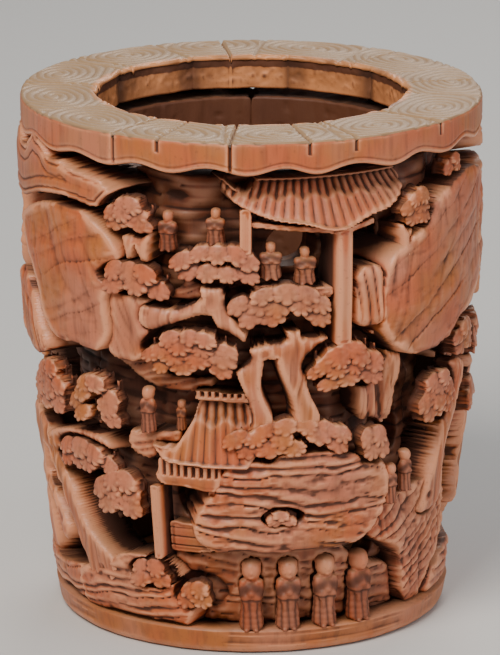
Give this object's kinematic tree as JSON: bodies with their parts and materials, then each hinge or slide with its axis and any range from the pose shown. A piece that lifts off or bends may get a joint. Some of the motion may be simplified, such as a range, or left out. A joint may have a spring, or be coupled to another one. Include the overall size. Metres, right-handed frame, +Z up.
{
  "type": "brush holder pot",
  "caption": "Round open brush pot of carved bamboo, its wall cut in deep openwork relief with pavilions, pines, cliffs and small figures under a scalloped cloud collar.",
  "frame": {"origin": "centre of the foot's underside, on the surface that the pot stands on", "axes": "+Z up along the pot's axis, -Y towards the front, where the two pavilions and the four standing figures are"},
  "size_m": [0.1338, 0.1338, 0.15],
  "materials": {
    "carved_bamboo": "waxed, hand-rubbed, darker in the hollows",
    "rim_bamboo": "worn and dry on top, waxed on the collar",
    "inner_wall_bamboo": "dark and matt",
    "base_disc_wood": "matt"
  },
  "bodies": {
    "root": {"back_figures": "carved_bamboo", "back_ledges": "carved_bamboo", "back_pine_canopies": "carved_bamboo", "back_pine_trunk": "carved_bamboo", "back_shrubs": "carved_bamboo", "back_strata_rock": "carved_bamboo", "base_disc": "base_disc_wood", "bridge_travellers": "carved_bamboo", "central_pine_canopies": "carved_bamboo", "central_pine_trunk": "carved_bamboo", "cloud_hook": "carved_bamboo", "east_cliff": "carved_bamboo", "east_cloud_hook": "carved_bamboo", "east_pine_canopies": "carved_bamboo", "east_pine_trunk": "carved_bamboo", "far_slopes": "carved_bamboo", "foot_ring": "carved_bamboo", "garden_hall_plinth": "carved_bamboo", "garden_hall_posts": "carved_bamboo", "garden_hall_ridge_and_eave": "carved_bamboo", "garden_hall_roof": "carved_bamboo", "garden_servant": "carved_bamboo", "grotto_back": "carved_bamboo", "hill_pavilion_balcony": "carved_bamboo", "hill_pavilion_frame": "carved_bamboo", "hill_pavilion_roof": "carved_bamboo", "hill_travellers": "carved_bamboo", "hillside_pine_canopies": "carved_bamboo", "hillside_pine_trunk": "carved_bamboo", "hillside_slopes": "carved_bamboo", "inner_wall": "inner_wall_bamboo", "left_cliff": "carved_bamboo", "left_edge_boulders": "carved_bamboo", "left_ground_bushes": "carved_bamboo", "left_ledges": "carved_bamboo", "left_pine_canopies": "carved_bamboo", "left_pine_trunks": "carved_bamboo", "left_rock_column": "carved_bamboo", "north_crag": "carved_bamboo", "ochre_crag": "carved_bamboo", "right_boulder": "carved_bamboo", "right_cliff": "carved_bamboo", "right_crag": "carved_bamboo", "right_crag_pine": "carved_bamboo", "right_pine_canopies": "carved_bamboo", "right_pine_trunk": "carved_bamboo", "rim_collar": "rim_bamboo", "seated_scholars": "carved_bamboo", "south_crag": "carved_bamboo", "standing_scholars": "carved_bamboo", "stone_bridge": "carved_bamboo", "strata_rock": "carved_bamboo", "strata_rock_shrubs": "carved_bamboo", "water_hall_posts": "carved_bamboo", "water_hall_roof": "carved_bamboo", "water_hall_terrace": "carved_bamboo", "west_cliff": "carved_bamboo", "west_cloud_hook": "carved_bamboo", "west_crag": "carved_bamboo"}
  },
  "joints": []
}
